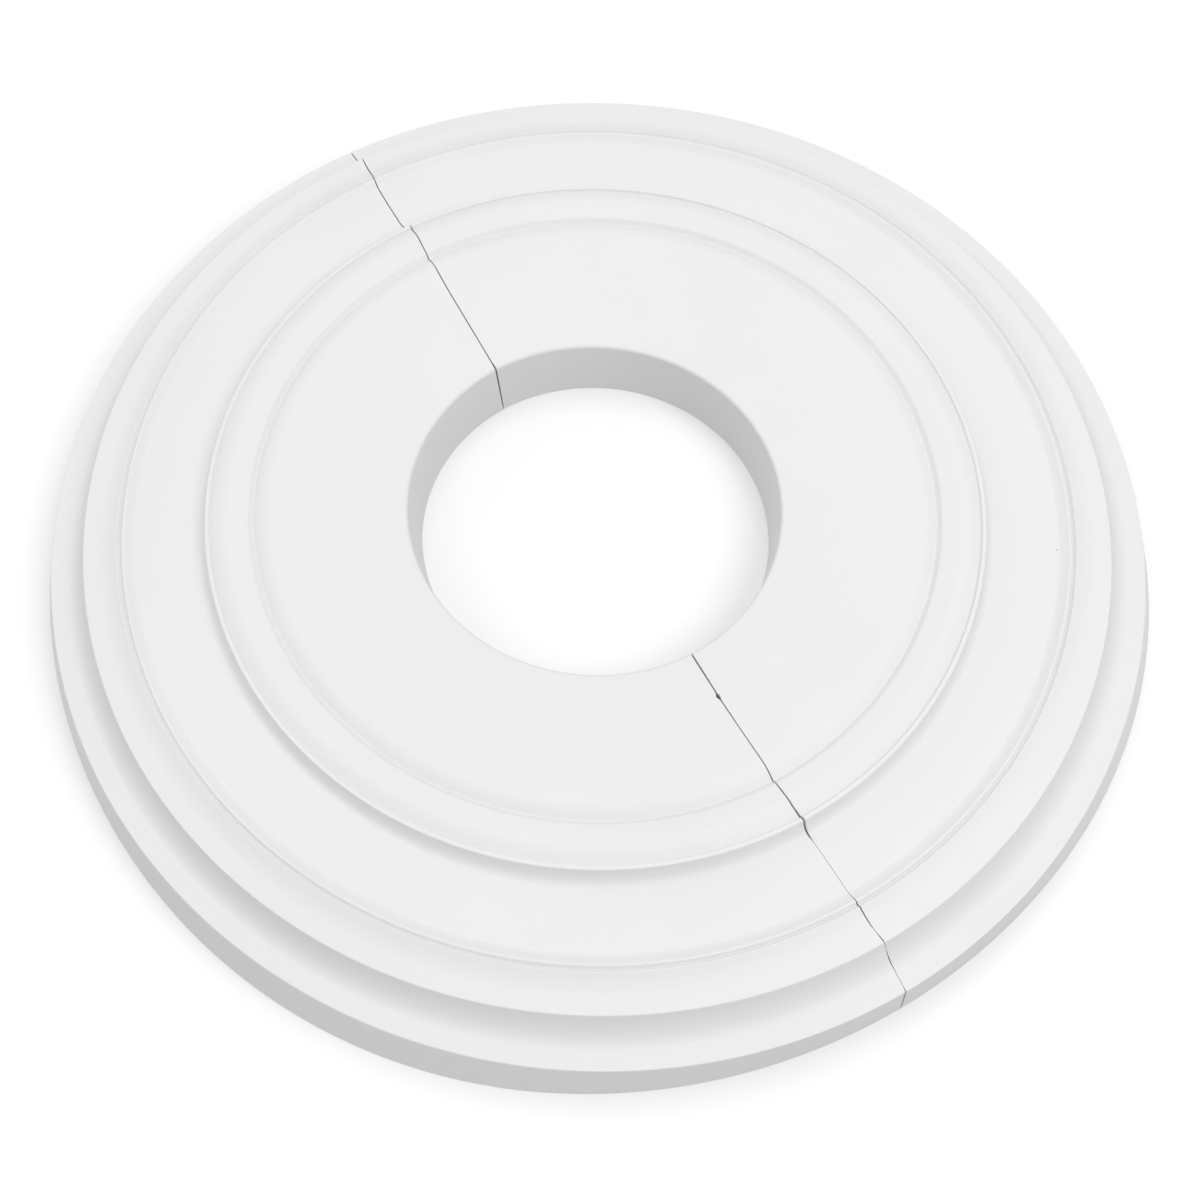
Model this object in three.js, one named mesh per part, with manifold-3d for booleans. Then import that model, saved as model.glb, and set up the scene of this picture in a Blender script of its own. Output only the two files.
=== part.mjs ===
// Ceiling rose in two halves: a turned ring of moulded foam, sawn in two along a diameter.
// Millimetres. It lies face up on its flat back, so +Z points out of the moulded face.
// The halves meet along +Y, and the whole sits centred over the origin.
import * as THREE from "three";
import { mergeVertices } from "three/addons/utils/BufferGeometryUtils.js";
import Module from "manifold-3d";

// Outline of the ring
const BACK_R = 229.8;
const RIM_R = 225.2;
const RIM_Z = 17.5;
const HOLE_R = 77.5;
const HOLE_Z = 26.1;
const HOLE_BACK_R = 74.3;
const HOLE_ROUND = 0.8;

// Flat shelf inside the rim, and the stepped ring that rises from it
const SHELF_R = 217.6;
const SHELF_Z = 18.0;
const RING_R = 208.7;
const RING_Z = 29.2;
const RING_FLAT_R = 201.5;
const RING_FLAT_Z = 29.7;
const RING_CREST_R = 194.2;
const RING_CREST_Z = 32.7;
const QUIRK_WIDTH = 2.0;
const QUIRK_DEPTH = 1.5;
const BEAD_WIDTH = 0.7;
const SLOPE_FOOT_R = 187.2;
const SLOPE_FOOT_Z = 30.1;

// Hollow band and the raised centre inside it
const BAND_FOOT_R = 162.8;
const BAND_FOOT_Z = 28.4;
const ARRIS_R = 158.4;
const ARRIS_Z = 35.2;
const FILLET_WIDTH = 1.6;
const OVOLO_TOP_R = 148.2;
const OVOLO_TOP_Z = 36.2;
const OVOLO_IN_R = 141.0;
const OVOLO_IN_Z = 34.3;
const VALLEY_R = 139.2;
const VALLEY_Z = 32.2;
const FIELD_R = 131.0;
const FIELD_Z = 34.9;

// Saw cut: its width, how far it runs off the centre, and the gap left when the halves meet
const KERF = 2.6;
const CUT_OFFSET = -2.9;
const JOINT_GAP = 0.4;

// The freed halves open a little, so the rose is slightly longer along the cut, less so at its foot
const SPRING = 0.0098;
const FOOT_SPRING = 0.0025;

// The foot of the outer wall isn't quite round: it swells and shrinks by this, four times round
const FOOT_LOBE = 1.2;

const SEGMENTS = 96;
const CURVE_STEPS = 5;
const REACH = 600;

const WHITE = 0xeeeeec;
const ROUGHNESS = 0.55;

// Section through one side, as (radius, height), from the back edge over the face and down the hole
function section() {
  const path = new THREE.Path();
  path.moveTo(BACK_R, 0);
  path.lineTo(RIM_R, RIM_Z);
  path.lineTo(SHELF_R, SHELF_Z);
  path.quadraticCurveTo(RING_R + 3.7, SHELF_Z + 1.4, RING_R, RING_Z);
  path.lineTo(RING_FLAT_R, RING_FLAT_Z);
  path.quadraticCurveTo(RING_CREST_R + 3.4, RING_FLAT_Z + 0.8, RING_CREST_R, RING_CREST_Z);
  path.lineTo(RING_CREST_R - QUIRK_WIDTH / 2, RING_CREST_Z - QUIRK_DEPTH);
  path.lineTo(RING_CREST_R - QUIRK_WIDTH, RING_CREST_Z);
  path.lineTo(RING_CREST_R - QUIRK_WIDTH - BEAD_WIDTH, RING_CREST_Z);
  path.quadraticCurveTo(SLOPE_FOOT_R + 1.2, SLOPE_FOOT_Z, SLOPE_FOOT_R, SLOPE_FOOT_Z);
  path.quadraticCurveTo(BAND_FOOT_R + 10.2, SLOPE_FOOT_Z, BAND_FOOT_R, BAND_FOOT_Z);
  path.quadraticCurveTo(ARRIS_R + 1.3, BAND_FOOT_Z, ARRIS_R, ARRIS_Z);
  path.lineTo(ARRIS_R - FILLET_WIDTH, ARRIS_Z + 0.1);
  path.lineTo(ARRIS_R - FILLET_WIDTH - 0.4, ARRIS_Z - 1.2);
  path.quadraticCurveTo(OVOLO_TOP_R + 3.6, OVOLO_TOP_Z + 0.5, OVOLO_TOP_R, OVOLO_TOP_Z);
  path.lineTo(OVOLO_IN_R, OVOLO_IN_Z);
  path.lineTo(VALLEY_R, VALLEY_Z);
  path.quadraticCurveTo(FIELD_R + 4.0, FIELD_Z + 0.6, FIELD_R, FIELD_Z);
  path.lineTo(HOLE_R + HOLE_ROUND, HOLE_Z);
  path.lineTo(HOLE_R, HOLE_Z - HOLE_ROUND);
  path.lineTo(HOLE_BACK_R, 0);
  path.lineTo(BACK_R, 0);
  return path.getPoints(CURVE_STEPS);
}

// A geometry with shared corners, turned into a solid that can be cut
function toSolid(wasm, geometry) {
  geometry.deleteAttribute("uv");
  geometry.deleteAttribute("normal");
  const merged = mergeVertices(geometry, 1e-4);
  const mesh = new wasm.Mesh({
    numProp: 3,
    vertProperties: new Float32Array(merged.attributes.position.array),
    triVerts: new Uint32Array(merged.index.array),
  });
  return new wasm.Manifold(mesh);
}

// Draw the turned ring out along the cut, and leave the foot of its wall a little uneven
function unround(geometry) {
  const places = geometry.attributes.position;
  for (let i = 0; i < places.count; i++) {
    const [x, y] = [places.getX(i), places.getY(i)];
    const radius = Math.hypot(x, y);
    const foot = THREE.MathUtils.clamp((radius - RIM_R) / (BACK_R - RIM_R), 0, 1);
    const spring = THREE.MathUtils.lerp(SPRING, FOOT_SPRING, foot);
    const swell = 1 - (foot * FOOT_LOBE / radius) * Math.cos(4 * Math.atan2(y, x));
    places.setXY(i, x * (1 - spring) * swell, y * (1 + spring) * swell);
  }
}

// The whole ring before the cut
function ring(wasm) {
  const geometry = new THREE.LatheGeometry(section(), SEGMENTS);
  geometry.rotateX(Math.PI / 2);
  unround(geometry);
  return toSolid(wasm, geometry);
}

// Everything on one side of the plane x = edge
function sideOf(wasm, edge, side) {
  const box = new THREE.BoxGeometry(REACH, REACH, REACH);
  box.translate(edge + side * REACH / 2, 0, 0);
  return toSolid(wasm, box);
}

function toMesh(solid, name) {
  const { vertProperties, triVerts } = solid.getMesh();
  const geometry = new THREE.BufferGeometry();
  geometry.setAttribute("position", new THREE.BufferAttribute(new Float32Array(vertProperties), 3));
  geometry.setIndex(new THREE.BufferAttribute(new Uint32Array(triVerts), 1));
  const material = new THREE.MeshStandardMaterial({ color: WHITE, roughness: ROUGHNESS, metalness: 0 });
  const mesh = new THREE.Mesh(geometry, material);
  mesh.name = name;
  return mesh;
}

// One half: what the saw leaves on its side, pushed up to the joint
function half(wasm, whole, side, name) {
  const cutEdge = CUT_OFFSET + side * KERF / 2;
  const mesh = toMesh(whole.intersect(sideOf(wasm, cutEdge, side)), name);
  mesh.geometry.translate(side * (JOINT_GAP - KERF) / 2, 0, 0);
  return mesh;
}

const wasm = await Module();
wasm.setup();
const whole = ring(wasm);
const rose = new THREE.Group();
rose.add(half(wasm, whole, -1, "left_half"));
rose.add(half(wasm, whole, 1, "right_half"));

// Centre the pair over the origin
const box = new THREE.Box3().setFromObject(rose);
const centre = box.getCenter(new THREE.Vector3());
for (const mesh of rose.children) {
  mesh.geometry.translate(-centre.x, -centre.y, 0);
}

export default rose;
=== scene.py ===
# %% [markdown]
# # A split ceiling rose, lying face up
#
# A ceiling rose is the round ornament that a lamp hangs from. This one is moulded in rigid
# polyurethane foam, primed white in the factory and sawn in two, so that it can be closed round a
# light that already hangs. The two halves lie face up on their flat backs, pushed together.
#
# The solid model is loaded first. It fixes where everything is, and nothing below moves it.

# %% Load the frame
import math

import bmesh
import bpy
import numpy as np
from mathutils import Matrix, Vector


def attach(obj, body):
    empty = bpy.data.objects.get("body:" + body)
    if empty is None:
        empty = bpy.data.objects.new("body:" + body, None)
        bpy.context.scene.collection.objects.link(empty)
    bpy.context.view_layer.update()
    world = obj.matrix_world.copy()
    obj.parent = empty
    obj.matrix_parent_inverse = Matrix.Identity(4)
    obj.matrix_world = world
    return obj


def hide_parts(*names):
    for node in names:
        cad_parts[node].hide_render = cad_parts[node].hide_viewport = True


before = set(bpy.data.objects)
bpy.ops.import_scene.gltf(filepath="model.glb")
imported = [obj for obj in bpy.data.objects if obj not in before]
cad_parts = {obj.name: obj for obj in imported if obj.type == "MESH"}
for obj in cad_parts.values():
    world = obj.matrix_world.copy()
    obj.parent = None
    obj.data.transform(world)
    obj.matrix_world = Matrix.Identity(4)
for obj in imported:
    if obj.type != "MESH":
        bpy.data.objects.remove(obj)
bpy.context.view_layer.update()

MM = 0.001

# %% [markdown]
# ## The section
#
# The rose was turned as a pattern before it was moulded, so it has one section all the way round.
# On the real thing a plasterer would cut that section out of sheet metal and sweep it round a
# centre pin. Here the section is a list of stretches, each a straight line or a bend with one
# handle, given as (radius, height) in millimetres from the centre of the back.
#
# From the rim inwards there are a leaning wall, a flat shelf, a cove, a broad ring that rises to
# a crest, a narrow groove with a bead beside it (a quirk), a hollow band, a step up to a rounded
# ring (an ovolo), a valley, and a field that dips towards the hole.

# %% Sizes of the section, in millimetres
BACK_R = 229.8
RIM_R, RIM_Z = 225.2, 17.5
SHELF_R, SHELF_Z = 217.6, 18.0
RING_R, RING_Z = 208.7, 29.2
RING_FLAT_R, RING_FLAT_Z = 201.5, 29.7
CREST_R, CREST_Z = 194.2, 32.7
QUIRK_WIDTH, QUIRK_DEPTH, BEAD_WIDTH = 2.0, 1.5, 0.7
SLOPE_FOOT_R, SLOPE_FOOT_Z = 187.2, 30.1
BAND_FOOT_R, BAND_FOOT_Z = 162.8, 28.4
ARRIS_R, ARRIS_Z = 158.4, 35.2
FILLET_WIDTH, FILLET_RISE = 1.6, 0.1
OVOLO_NECK, OVOLO_DROP = 0.4, 1.2
OVOLO_TOP_R, OVOLO_TOP_Z = 148.2, 36.2
OVOLO_IN_R, OVOLO_IN_Z = 141.0, 34.3
VALLEY_R, VALLEY_Z = 139.2, 32.2
FIELD_R, FIELD_Z = 131.0, 34.9
HOLE_R, HOLE_Z, HOLE_ROUND = 77.5, 26.1, 0.8
HOLE_BACK_R = 74.3

# Where the handle of a bend stands: how far outside the bend's inner end, and how far above it
# or above the outer end
COVE_OUT, COVE_UP = 3.7, 1.4
CREST_OUT, CREST_UP = 3.4, 0.8
SLOPE_OUT = 1.2
BAND_OUT = 10.2
STEP_OUT = 1.3
OVOLO_OUT, OVOLO_UP = 3.6, 0.5
FIELD_OUT, FIELD_UP = 4.0, 0.6

# %% Stretches of the section
STRETCH_STEPS = 200


def line(start, end):
    """Straight stretch: start plus t times the way to the end, t from 0 to 1."""
    t = np.linspace(0, 1, STRETCH_STEPS)[:, None]
    return (1 - t) * np.array(start) + t * np.array(end)


def bend(start, handle, end):
    """Curved stretch: (1-t)^2 of the start, 2t(1-t) of the handle and t^2 of the end."""
    t = np.linspace(0, 1, STRETCH_STEPS)[:, None]
    return (1 - t) ** 2 * np.array(start) + 2 * t * (1 - t) * np.array(handle) + t**2 * np.array(end)


def face_section():
    """The whole outline from the back's outer edge, over the face and down the hole."""
    rim, shelf = (RIM_R, RIM_Z), (SHELF_R, SHELF_Z)
    ring, ring_flat = (RING_R, RING_Z), (RING_FLAT_R, RING_FLAT_Z)
    crest = (CREST_R, CREST_Z)
    quirk = (CREST_R - QUIRK_WIDTH / 2, CREST_Z - QUIRK_DEPTH)
    bead = (CREST_R - QUIRK_WIDTH, CREST_Z)
    bead_end = (CREST_R - QUIRK_WIDTH - BEAD_WIDTH, CREST_Z)
    slope_foot, band_foot = (SLOPE_FOOT_R, SLOPE_FOOT_Z), (BAND_FOOT_R, BAND_FOOT_Z)
    arris, fillet = (ARRIS_R, ARRIS_Z), (ARRIS_R - FILLET_WIDTH, ARRIS_Z + FILLET_RISE)
    ovolo_out = (ARRIS_R - FILLET_WIDTH - OVOLO_NECK, ARRIS_Z - OVOLO_DROP)
    ovolo_top, ovolo_in = (OVOLO_TOP_R, OVOLO_TOP_Z), (OVOLO_IN_R, OVOLO_IN_Z)
    valley, field = (VALLEY_R, VALLEY_Z), (FIELD_R, FIELD_Z)
    hole_edge, hole_wall = (HOLE_R + HOLE_ROUND, HOLE_Z), (HOLE_R, HOLE_Z - HOLE_ROUND)
    stretches = [
        line((BACK_R, 0), rim),
        line(rim, shelf),
        bend(shelf, (RING_R + COVE_OUT, SHELF_Z + COVE_UP), ring),
        line(ring, ring_flat),
        bend(ring_flat, (CREST_R + CREST_OUT, RING_FLAT_Z + CREST_UP), crest),
        line(crest, quirk),
        line(quirk, bead),
        line(bead, bead_end),
        bend(bead_end, (SLOPE_FOOT_R + SLOPE_OUT, SLOPE_FOOT_Z), slope_foot),
        bend(slope_foot, (BAND_FOOT_R + BAND_OUT, SLOPE_FOOT_Z), band_foot),
        bend(band_foot, (ARRIS_R + STEP_OUT, BAND_FOOT_Z), arris),
        line(arris, fillet),
        line(fillet, ovolo_out),
        bend(ovolo_out, (OVOLO_TOP_R + OVOLO_OUT, OVOLO_TOP_Z + OVOLO_UP), ovolo_top),
        line(ovolo_top, ovolo_in),
        line(ovolo_in, valley),
        bend(valley, (FIELD_R + FIELD_OUT, FIELD_Z + FIELD_UP), field),
        line(field, hole_edge),
        line(hole_edge, hole_wall),
        line(hole_wall, (HOLE_BACK_R, 0)),
    ]
    return np.vstack(stretches)


# %% [markdown]
# ## Soft edges
#
# Foam doesn't fill a sharp corner of its mould, and two coats of primer round it further. So the
# outline is walked in tiny equal steps and each point is averaged with its neighbours over about
# a quarter of a millimetre. Then points are spent where they are needed: many on tight corners,
# few on long flat stretches.

# %% Round the corners and choose the points
STEP = 0.05
EDGE_SOFTNESS = 0.25
BELL_REACH = 4
SECTION_POINTS = 240
CORNER_WEIGHT = 9.0


def arc_lengths(points):
    """Distance walked along the outline up to each point."""
    return np.concatenate([[0], np.cumsum(np.linalg.norm(np.diff(points, axis=0), axis=1))])


def at_lengths(points, lengths):
    """Points of the outline at the given distances along it."""
    walked = arc_lengths(points)
    return np.column_stack([np.interp(lengths, walked, points[:, k]) for k in (0, 1)])


def softened(points):
    """Each point becomes the bell-weighted mean of its neighbours; both ends stay put."""
    even = at_lengths(points, np.arange(0, arc_lengths(points)[-1], STEP))
    reach = int(BELL_REACH * EDGE_SOFTNESS / STEP)
    offsets = np.arange(-reach, reach + 1) * STEP
    bell = np.exp(-0.5 * (offsets / EDGE_SOFTNESS) ** 2)
    bell /= bell.sum()
    before = 2 * even[0] - even[reach:0:-1]
    after = 2 * even[-1] - even[-2:-reach - 2:-1]
    padded = np.vstack([before, even, after])
    return np.column_stack([np.convolve(padded[:, k], bell, mode="valid") for k in (0, 1)])


def spread_by_bend(points, count):
    """Pick points so that each holds the same share of length plus turning."""
    heading = np.unwrap(np.arctan2(*np.diff(points, axis=0).T[::-1]))
    turning = np.abs(np.diff(heading, prepend=heading[0]))
    weight = np.concatenate([[0], np.cumsum(STEP + CORNER_WEIGHT * turning)])
    chosen = np.interp(np.linspace(0, weight[-1], count), weight, np.arange(len(points)))
    return np.column_stack([np.interp(chosen, np.arange(len(points)), points[:, k]) for k in (0, 1)])


SECTION = spread_by_bend(softened(face_section()), SECTION_POINTS)
SECTION[[0, -1], 1] = 0.0
print("section:", SECTION_POINTS, "points, highest", round(SECTION[:, 1].max(), 2), "mm")

# %% [markdown]
# ## The saw cut
#
# The ring was sawn across with a blade a few millimetres wide, a little off the centre, and the
# halves opened slightly when they came free. Pushed together again they make a ring that is a
# shade longer along the cut than across it. The saw strayed a millimetre or two on its way. Along
# the joint the foam has crumbled here and there, so the dark line is wide in some places and
# almost closed in others.

# %% Sizes of the cut, in millimetres
KERF = 2.6
CUT_OFFSET = -2.9
JOINT_GAP = 0.4
SPRING, FOOT_SPRING = 0.0098, 0.0025
FOOT_LOBE, FOOT_LOBES = 1.2, 4

# Distance from the centre, how far the saw strayed to the right there, and how wide the joint is
FAR_JOINT = [
    (74, -0.9, 0.5), (78, -0.9, 0.9), (82, -1.0, 0.5), (120, -1.2, 0.5), (144, -0.6, 0.5),
    (158, 0.0, 0.6), (166, -1.7, 0.5), (178, -1.9, 0.5), (190, -1.6, 0.5), (198, -0.8, 0.6),
    (207, 0.0, 0.5), (213, 0.0, 0.5), (219, 0.6, 0.5), (226, 0.3, 0.5), (231, -0.1, 0.6),
]
NEAR_JOINT = [
    (74, 2.2, 0.75), (84, 1.6, 0.7), (92, 1.1, 0.6), (97, 0.8, 0.5), (98.5, 0.6, 0.6),
    (99.8, 0.5, 1.9), (101.3, 0.5, 0.5), (115, 0.0, 0.4), (130, -0.4, 0.42), (140, -0.6, 0.5),
    (152, -0.6, 0.6), (158, 0.3, 1.0), (163, 0.5, 0.6), (165, 0.5, 0.16), (188, 0.6, 0.16),
    (194, 0.6, 0.6), (201, 1.0, 0.4), (204, 1.3, 0.14), (207, 1.7, 0.5), (210, 2.0, 0.14),
    (213, 2.2, 0.5), (217, 2.4, 0.2), (224, 1.8, 0.18), (226, 1.6, 0.8), (231, 1.1, 0.3),
]


def joint(distance, far):
    """Straying and width of the joint at a distance from the centre, read between the listed places."""
    places, strayed, widths = np.array(FAR_JOINT if far else NEAR_JOINT, dtype=float).T
    return np.interp(distance, places, strayed), np.interp(distance, places, widths)


# %% [markdown]
# ## One half as three grids and a flat back
#
# The face is the section swung from one cut edge to the other, as one grid of points. From each
# end of it a cut face hangs straight down to the back. The back is a single flat face that takes
# up the edges of the other three, so the half is closed.
#
# The cut is a straight plane that misses the centre, so each radius starts and stops at its own
# angle: the angle whose cosine is the cut's place divided by the radius.

# %% Grids of a half
ROUND_STEPS = 240
CUT_STEPS = 6
WAVER = 0.05

# How many times each wave goes round the ring, how strong it is, and where it starts, in radians
WAVES = [(3, 1.0, 0.7), (7, 0.6, 2.1), (11, 0.4, 4.0)]


def cut_places(side, radii, far):
    """Where the edge stands, across the cut: the strayed saw's place and half the joint's opening."""
    strayed, width = joint(radii, far)
    return CUT_OFFSET + strayed + side * (KERF + width - JOINT_GAP) / 2


def swing(side, radii, heights):
    """Swing (radius, height) points round from one cut edge to the other.

    x is radius times the cosine of the angle, narrowed by the spring, and y is radius times the
    sine, lengthened by it. The angle runs evenly between the two ends that the cut allows. Down
    the outer wall the spring fades, and the foot swells and shrinks four times round.
    """
    foot = np.clip((radii - RIM_R) / (BACK_R - RIM_R), 0, 1)
    spring = SPRING + foot * (FOOT_SPRING - SPRING)
    across = radii * (1 - spring)
    first = np.arccos(cut_places(side, radii, far=True) / across)
    last = -np.arccos(cut_places(side, radii, far=False) / across)
    if side < 0:
        last = last + 2 * math.pi
    share = np.linspace(0, 1, ROUND_STEPS)[None, :]
    angle = first[:, None] + (last - first)[:, None] * share
    swell = 1 - (foot * FOOT_LOBE / radii)[:, None] * np.cos(FOOT_LOBES * angle)
    x = across[:, None] * np.cos(angle) * swell
    y = (radii * (1 + spring))[:, None] * np.sin(angle) * swell
    z = np.repeat(heights[:, None], ROUND_STEPS, axis=1)
    return np.stack([x, y, z], axis=-1)


def wavered(points):
    """Sink the face by a few hundredths of a millimetre, in slow sine waves round the ring."""
    angle = np.arctan2(points[..., 1], points[..., 0])
    wave = sum(strength * np.sin(times * angle + start) for times, strength, start in WAVES)
    above_back = np.clip(points[..., 2] / RIM_Z, 0, 1)
    sunk = points.copy()
    sunk[..., 2] -= WAVER * (1 + wave / 2) * above_back
    return sunk


def cut_face(edge):
    """Hang a sheet from an edge of the face down to the back, in even shares of its height."""
    share = np.linspace(1, 0, CUT_STEPS)[None, :]
    sheet = np.repeat(edge[:, None, :], CUT_STEPS, axis=1)
    sheet[..., 2] *= share
    return sheet


def quads(rows, columns, first):
    """Four-cornered faces between neighbouring points of a grid whose numbering starts at first."""
    index = first + np.arange(rows * columns).reshape(rows, columns)
    corners = [index[:-1, :-1], index[1:, :-1], index[1:, 1:], index[:-1, 1:]]
    return np.stack(corners, axis=-1).reshape(-1, 4)


# %% [markdown]
# ## Closing the mesh
#
# The grids share their edges point for point, so once they are joined and doubled points merged,
# nothing is open. The face is primed, the back and the cut are bare foam, so each half carries
# two finishes and every face knows which it has.

# %% Build a half
PRIMED, BARE = 0, 1
SHARP_TURN = math.radians(34)
MERGE_WITHIN = 1e-7
CM3_PER_M3 = 1e6


def build_half(name, side):
    """Join the grids of one half into a closed mesh object, in metres."""
    face = wavered(swing(side, SECTION[:, 0], SECTION[:, 1]))
    grids = [face, cut_face(face[:, 0]), cut_face(face[:, -1])]
    starts = np.cumsum([0] + [grid.shape[0] * grid.shape[1] for grid in grids])
    points = np.vstack([grid.reshape(-1, 3) for grid in grids])
    points[:, 0] += side * (JOINT_GAP - KERF) / 2

    faces = [quads(*grid.shape[:2], first) for grid, first in zip(grids, starts)]
    rows = len(SECTION)
    number = np.arange(starts[-1])
    swung = number[: starts[1]].reshape(rows, ROUND_STEPS)
    far_foot = number[starts[1] : starts[2]].reshape(rows, CUT_STEPS)[:, -1]
    near_foot = number[starts[2] : starts[3]].reshape(rows, CUT_STEPS)[:, -1]
    back = np.concatenate([swung[0], near_foot[1:-1], swung[-1][::-1], far_foot[::-1][1:-1]])

    mesh = bpy.data.meshes.new(name)
    mesh.from_pydata((points * MM).tolist(), [], np.vstack(faces).tolist() + [back.tolist()])
    finish = np.full(len(mesh.polygons), BARE, dtype=np.int32)
    finish[: len(faces[0])] = PRIMED
    mesh.polygons.foreach_set("material_index", finish)

    shell = bmesh.new()
    shell.from_mesh(mesh)
    bmesh.ops.remove_doubles(shell, verts=shell.verts, dist=MERGE_WITHIN)
    bmesh.ops.recalc_face_normals(shell, faces=shell.faces)
    open_edges = sum(not edge.is_manifold for edge in shell.edges)
    shell.to_mesh(mesh)
    volume = shell.calc_volume() * CM3_PER_M3
    shell.free()

    mesh.shade_smooth()
    mesh.set_sharp_from_angle(angle=SHARP_TURN)
    piece = bpy.data.objects.new(name, mesh)
    bpy.context.scene.collection.objects.link(piece)
    print(f"{name}: {len(mesh.polygons)} faces, {open_edges} open edges, {volume:.0f} cm3")
    return piece


left = build_half("rose_left", -1)
right = build_half("rose_right", 1)

# %% [markdown]
# ## Materials
#
# White paint is never the single colour it seems. Each finish below starts from what the real
# one is, and gets its pattern from real sizes in millimetres. Colours are written as they would
# be picked on a screen and turned to linear light by one function.

# %% Helpers for materials
# Where a mixing node keeps its two colours among its inputs, and the mixed one among its outputs
FIRST_COLOUR, SECOND_COLOUR, MIXED_COLOUR = 6, 7, 2


def linear(hex_colour):
    """Screen colour to linear light, the piecewise sRGB curve, with full opacity added."""
    screen = np.array([int(hex_colour[k : k + 2], 16) for k in (1, 3, 5)]) / 255
    light = np.where(screen <= 0.04045, screen / 12.92, ((screen + 0.055) / 1.055) ** 2.4)
    return (*light.tolist(), 1.0)


def add(tree, kind, inputs=None, **settings):
    """Add a node, set its settings, and set or link each of its named inputs."""
    made = tree.nodes.new(kind)
    for setting, value in settings.items():
        setattr(made, setting, value)
    for socket, value in (inputs or {}).items():
        target = made.inputs[socket]
        if isinstance(value, bpy.types.NodeSocket):
            tree.links.new(value, target)
        else:
            target.default_value = value
    return made


def per_mm(size):
    """Texture scale that gives features of a size in millimetres, on coordinates in metres."""
    return 1 / (size * MM)


def noise(tree, place, size, detail):
    """Cloudy pattern between 0 and 1 whose features are about a size in millimetres."""
    inputs = {"Vector": place, "Scale": per_mm(size), "Detail": detail}
    return add(tree, "ShaderNodeTexNoise", inputs).outputs["Fac"]


def mixed(tree, share, first, second):
    """First colour where the share is 0, second where it is 1, and in proportion between."""
    inputs = {"Factor": share, FIRST_COLOUR: first, SECOND_COLOUR: second}
    return add(tree, "ShaderNodeMix", inputs, data_type="RGBA").outputs[MIXED_COLOUR]


def new_material(name):
    """An empty material, its node tree, and the output that a shader goes to."""
    material = bpy.data.materials.new(name)
    material.use_nodes = True
    material.node_tree.nodes.clear()
    output = material.node_tree.nodes.new("ShaderNodeOutputMaterial")
    return material, material.node_tree, output


# %% [markdown]
# ## The primer
#
# Rigid polyurethane comes out of a polished mould with a smooth skin and is sprayed with water
# based acrylic primer. That gives a soft even sheen, a faint orange peel about two millimetres
# across, and brightness that drifts a little where the coat is thicker. Here and there an air
# bubble left a pinhole. The holes are not modelled: the shade inside each is painted on as a dark spot.

# %% Primed polyurethane
PRIMER_IOR = 1.49
DRIFT_MM, SHEEN_MM = 70, 14
SHEEN_ROUGHNESS = (0.48, 0.6)
PEEL_MM, PEEL_DEPTH_MM, PEEL_STRENGTH = 2.2, 0.02, 0.6
GRAIN_MM, GRAIN_DEPTH_MM, GRAIN_STRENGTH = 0.5, 0.006, 0.5

# Place of each pinhole and how far its edge lies from there, in millimetres
PINHOLES = [(-25.8, -157.6, 33.4, 0.45), (146.8, -113.6, 30.1, 0.4), (-68.0, -219.6, 1.5, 0.5)]
# How strong the painted shade is at the middle of each pinhole
PINHOLE_PAINTED_SHADE = 0.7


def with_painted_pinhole_shade(tree, place, colour):
    """Paint the shade inside each pinhole onto a colour, at full strength within half its reach and
    fading to its edge.
    """
    for x, y, z, reach in PINHOLES:
        centre = (x * MM, y * MM, z * MM)
        away = add(tree, "ShaderNodeVectorMath", {0: place, 1: centre}, operation="DISTANCE")
        hole_shade = add(
            tree,
            "ShaderNodeMapRange",
            {
                "Value": away.outputs["Value"],
                "From Min": reach * MM,
                "From Max": reach * MM / 2,
                "To Min": 0.0,
                "To Max": PINHOLE_PAINTED_SHADE,
            },
            interpolation_type="SMOOTHSTEP",
        )
        # Mix in a dark grey that paints the shade inside the hole
        colour = mixed(tree, hole_shade.outputs["Result"], colour, linear("#6A6865"))
    return colour


def primed_polyurethane():
    """White acrylic primer over moulded foam."""
    material, tree, output = new_material("primed_polyurethane")
    place = add(tree, "ShaderNodeTexCoord").outputs["Object"]
    drift = noise(tree, place, DRIFT_MM, detail=2.0)
    # The drift is the primer's own tone; the pinhole spots are painted shade
    colour = with_painted_pinhole_shade(tree, place, mixed(tree, drift, linear("#DEDEDD"), linear("#E2E2E2")))
    smoothest, roughest = SHEEN_ROUGHNESS
    rough = add(
        tree,
        "ShaderNodeMapRange",
        {"Value": noise(tree, place, SHEEN_MM, detail=3.0), "To Min": smoothest, "To Max": roughest},
    )
    peeled = add(
        tree,
        "ShaderNodeBump",
        {
            "Height": noise(tree, place, PEEL_MM, detail=1.0),
            "Strength": PEEL_STRENGTH,
            "Distance": PEEL_DEPTH_MM * MM,
        },
    )
    grained = add(
        tree,
        "ShaderNodeBump",
        {
            "Height": noise(tree, place, GRAIN_MM, detail=2.0),
            "Strength": GRAIN_STRENGTH,
            "Distance": GRAIN_DEPTH_MM * MM,
            "Normal": peeled.outputs["Normal"],
        },
    )
    paint = add(
        tree,
        "ShaderNodeBsdfPrincipled",
        {
            "Base Color": colour,
            "Roughness": rough.outputs["Result"],
            "IOR": PRIMER_IOR,
            "Normal": grained.outputs["Normal"],
        },
    )
    tree.links.new(paint.outputs["BSDF"], output.inputs["Surface"])
    return material


# %% [markdown]
# ## Bare foam
#
# The back and the sawn faces never saw primer. They are the foam's own cream, duller than the
# face, with cells under a millimetre across that the saw opened.

# %% Bare polyurethane foam
CLOUD_MM = 25
CELL_MM, CELL_DEPTH_MM, CELL_STRENGTH = 0.8, 0.12, 0.5
FOAM_ROUGHNESS = 0.85


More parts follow.
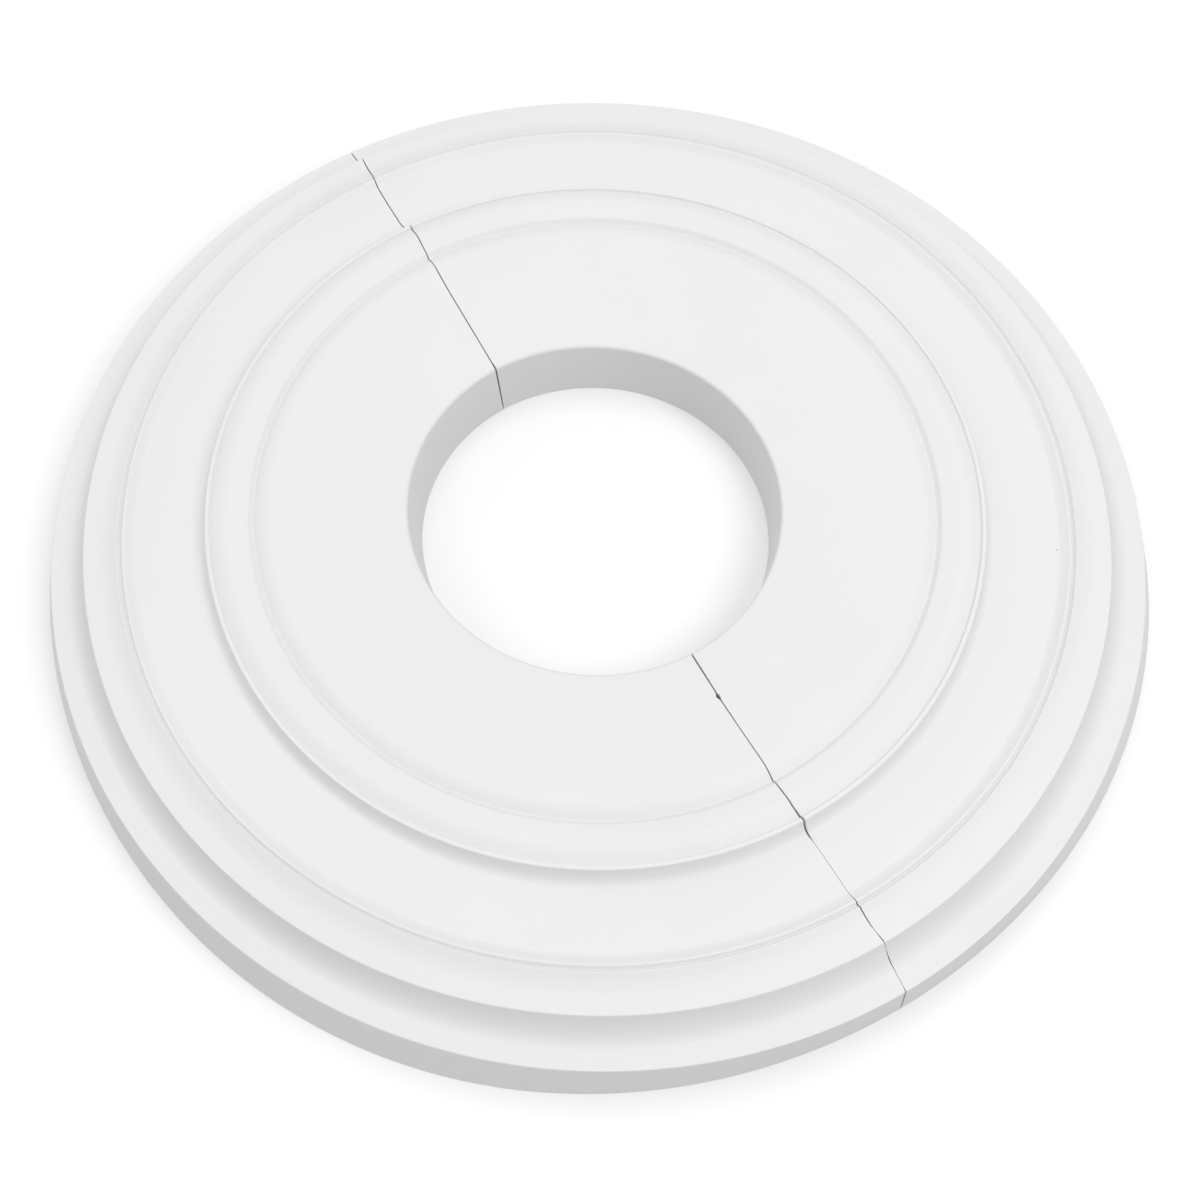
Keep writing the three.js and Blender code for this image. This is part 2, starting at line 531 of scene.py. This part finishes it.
def bare_foam():
    """Cream foam with open cells: rounded cell walls from the distance to the nearest cell centre."""
    material, tree, output = new_material("bare_polyurethane_foam")
    place = add(tree, "ShaderNodeTexCoord").outputs["Object"]
    cells = add(tree, "ShaderNodeTexVoronoi", {"Vector": place, "Scale": per_mm(CELL_MM)})
    cloud = noise(tree, place, CLOUD_MM, detail=3.0)
    dents = add(
        tree,
        "ShaderNodeBump",
        {
            "Height": cells.outputs["Distance"],
            "Strength": CELL_STRENGTH,
            "Distance": CELL_DEPTH_MM * MM,
        },
    )
    foam = add(
        tree,
        "ShaderNodeBsdfPrincipled",
        {
            "Base Color": mixed(tree, cloud, linear("#D8D6D0"), linear("#E4E2DD")),
            "Roughness": FOAM_ROUGHNESS,
            "Normal": dents.outputs["Normal"],
        },
    )
    tree.links.new(foam.outputs["BSDF"], output.inputs["Surface"])
    return material


# %% [markdown]
# ## Put the finishes on
#
# Each half takes the place of its plain solid, rides with it, and carries the primer first and
# the bare foam second, in the order that its faces count on.

# %% Dress the halves
primer, foam = primed_polyurethane(), bare_foam()
for piece, node in ((left, "left_half"), (right, "right_half")):
    piece.data.materials.append(primer)
    piece.data.materials.append(foam)
    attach(piece, "root")
    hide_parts(node)
    print(piece.name, "stands for", node)

# %% [markdown]
# ## Floor
#
# A white object photographs well on white only if its own faces stay a little darker than the
# ground, and its walls darker still. So the floor is paler than the primer, and its glow is kept
# off the object, as black card laid round it would do.

# %% Floor, seen by the camera but casting no light or shade on the rose
FLOOR_SIZE = 40.0
FLOOR_DROP = 0.0002
PAPER_ROUGHNESS, PAPER_SHEEN = 0.9, 0.1


def pale_floor():
    """A square sheet just under the rose, painted a brighter white than the primer."""
    mesh = bpy.data.meshes.new("floor")
    reach = FLOOR_SIZE / 2
    corners = [(-reach, -reach), (reach, -reach), (reach, reach), (-reach, reach)]
    mesh.from_pydata([(x, y, -FLOOR_DROP) for x, y in corners], [], [(0, 1, 2, 3)])
    floor = bpy.data.objects.new("floor", mesh)
    bpy.context.scene.collection.objects.link(floor)
    material, tree, output = new_material("floor_paper")
    paper = add(
        tree,
        "ShaderNodeBsdfPrincipled",
        {
            "Base Color": linear("#F6F6F6"),
            "Roughness": PAPER_ROUGHNESS,
            "Specular IOR Level": PAPER_SHEEN,
        },
    )
    tree.links.new(paper.outputs["BSDF"], output.inputs["Surface"])
    mesh.materials.append(material)
    floor.visible_diffuse = False
    floor.visible_shadow = False
    return floor


pale_floor()

# %% [markdown]
# ## Camera
#
# The camera looks steeply down from the near side, a little left of the joint. It is placed from
# given numbers: bearings turn from +X towards +Y, and the view is made from three directions at
# right angles, ahead, across and up.

# %% Camera
CAMERA_PLACE = Vector((-158.2, -301.5, 597.2)) * MM
LOOK_BEARING = math.radians(62.12)
LOOK_DOWN = math.radians(62.66)
ROLL = math.radians(-1.91)
LENS_MM = 48.84

ahead = Vector((
    math.cos(LOOK_BEARING) * math.cos(LOOK_DOWN),
    math.sin(LOOK_BEARING) * math.cos(LOOK_DOWN),
    -math.sin(LOOK_DOWN),
))
level = ahead.cross(Vector((0, 0, 1))).normalized()
upright = level.cross(ahead)
across = math.cos(ROLL) * level + math.sin(ROLL) * upright
up = math.cos(ROLL) * upright - math.sin(ROLL) * level

camera_data = bpy.data.cameras.new("camera")
camera_data.lens = LENS_MM
camera = bpy.data.objects.new("camera", camera_data)
turned = Matrix((across, up, -ahead)).transposed().to_4x4()
camera.matrix_world = Matrix.Translation(CAMERA_PLACE) @ turned
bpy.context.scene.collection.objects.link(camera)
bpy.context.scene.camera = camera

# %% [markdown]
# ## Light
#
# An even sky gives most of the light, and the ground below the horizon glows a little less, which
# keeps the walls darker than the face. Four soft lamps lean the light slightly to one side so
# that the mouldings show.

# %% Soft lamps, all at one distance and aimed at the middle of the rose
SOFTBOX_WIDTH = 1.0
SOFTBOX_DISTANCE = 1.8

# Name, bearing and height of each softbox in degrees, and its power in watts
SOFTBOXES = [
    ("front_right", 300, 55, 9.5),
    ("left", 180, 55, 2.2),
    ("back_left", 120, 25, 2.8),
    ("top", 60, 70, 6.0),
]

for name, bearing, height, watts in SOFTBOXES:
    turn, lift = math.radians(bearing), math.radians(height)
    level_reach = SOFTBOX_DISTANCE * math.cos(lift)
    place = Vector((
        level_reach * math.cos(turn),
        level_reach * math.sin(turn),
        SOFTBOX_DISTANCE * math.sin(lift),
    ))
    softbox = bpy.data.lights.new(name, "AREA")
    softbox.size = SOFTBOX_WIDTH
    softbox.energy = watts
    lamp = bpy.data.objects.new(name, softbox)
    aim = (-place).to_track_quat("-Z", "Y").to_matrix().to_4x4()
    lamp.matrix_world = Matrix.Translation(place) @ aim
    bpy.context.scene.collection.objects.link(lamp)
print("softboxes:", len(SOFTBOXES), "with", round(sum(box[-1] for box in SOFTBOXES), 1), "W in all")

# %% Sky and ground, blending over a narrow band at the horizon
SKY_STRENGTH, GROUND_STRENGTH = 0.67, 0.48
HORIZON_BLUR = 0.05

world = bpy.data.worlds.new("studio")
world.use_nodes = True
sky_tree = world.node_tree
direction = add(sky_tree, "ShaderNodeTexCoord").outputs["Generated"]
upward = add(sky_tree, "ShaderNodeSeparateXYZ", {"Vector": direction}).outputs["Z"]
glow = add(
    sky_tree,
    "ShaderNodeMapRange",
    {
        "Value": upward,
        "From Min": -HORIZON_BLUR,
        "From Max": HORIZON_BLUR,
        "To Min": GROUND_STRENGTH,
        "To Max": SKY_STRENGTH,
    },
)
sky_tree.links.new(glow.outputs["Result"], sky_tree.nodes["Background"].inputs["Strength"])
sky_tree.nodes["Background"].inputs["Color"].default_value = linear("#FFFFFF")
bpy.context.scene.world = world
bpy.context.scene.view_settings.view_transform = "Standard"
